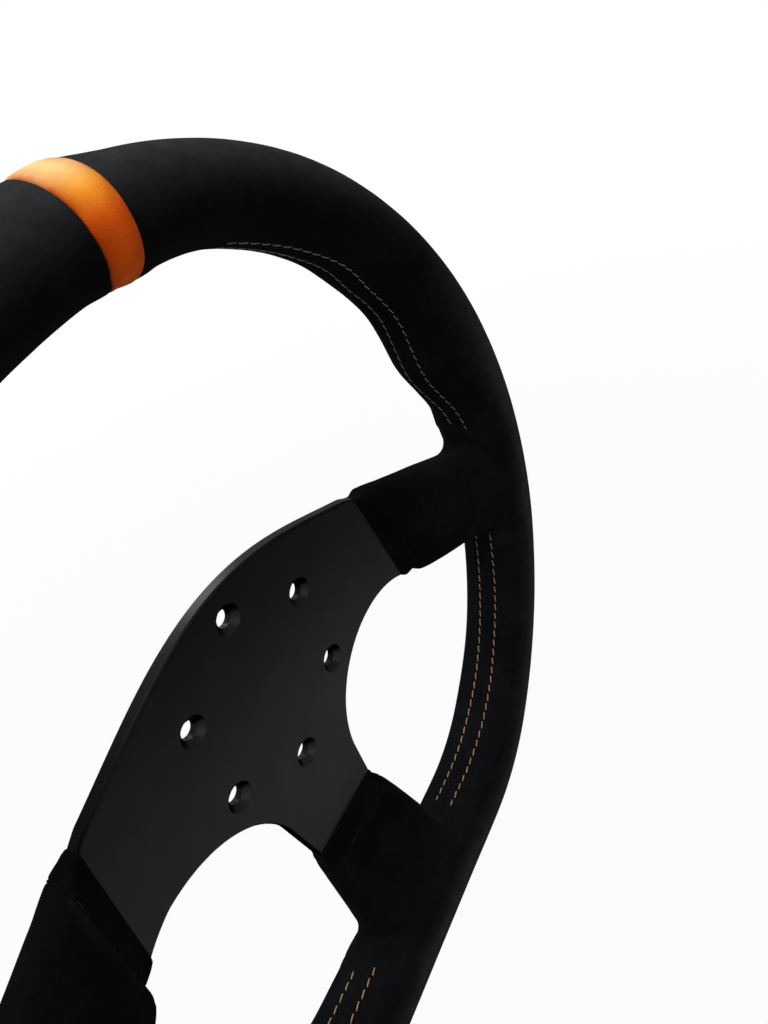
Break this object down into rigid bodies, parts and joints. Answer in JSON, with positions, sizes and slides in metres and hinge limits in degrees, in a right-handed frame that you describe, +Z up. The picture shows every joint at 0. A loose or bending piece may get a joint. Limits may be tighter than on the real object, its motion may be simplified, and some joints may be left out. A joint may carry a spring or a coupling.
{
  "type": "steering wheel",
  "caption": "Flat-bottomed three-spoke racing steering wheel: suede grip with a contrast band at the top over a drilled aluminium spoke plate that bolts to a hub or quick release.",
  "frame": {"origin": "middle of the spoke plate's flat rear face, on the wheel's axis, where the hub bolts on", "axes": "Z up through twelve o'clock, X to three o'clock as the driver sees it, Y along the steering axis away from the driver"},
  "size_m": [0.338, 0.0398, 0.321],
  "materials": {
    "plate": "black anodised, satin",
    "core": "mill",
    "rivet": "plain",
    "foam": "moulded foam",
    "suede": "napped suede",
    "band": "napped suede",
    "thread": "twisted thread",
    "dark_thread": "twisted thread"
  },
  "bodies": {
    "root": {"spoke_plate": "plate", "rim_core_ring": "core", "rivet_right_a": "rivet", "rivet_right_b": "rivet", "rivet_left_a": "rivet", "rivet_left_b": "rivet", "rivet_bottom_a": "rivet", "rivet_bottom_b": "rivet", "grip_foam": "foam", "rim_cover_upper_right": "suede", "rim_cover_upper_left": "suede", "rim_cover_lower_right": "suede", "rim_cover_lower_left": "suede", "centre_band": "band", "spoke_sleeve_right": "suede", "spoke_sleeve_left": "suede", "spoke_sleeve_bottom": "suede", "stitch_front_upper_right": "thread", "stitch_rear_upper_right": "thread", "stitch_front_upper_left": "thread", "stitch_rear_upper_left": "thread", "stitch_front_lower_right": "thread", "stitch_rear_lower_right": "thread", "stitch_front_lower_left": "thread", "stitch_rear_lower_left": "thread", "hem_stitch_right": "dark_thread", "hem_stitch_left": "dark_thread", "hem_stitch_bottom": "dark_thread"}
  },
  "joints": []
}
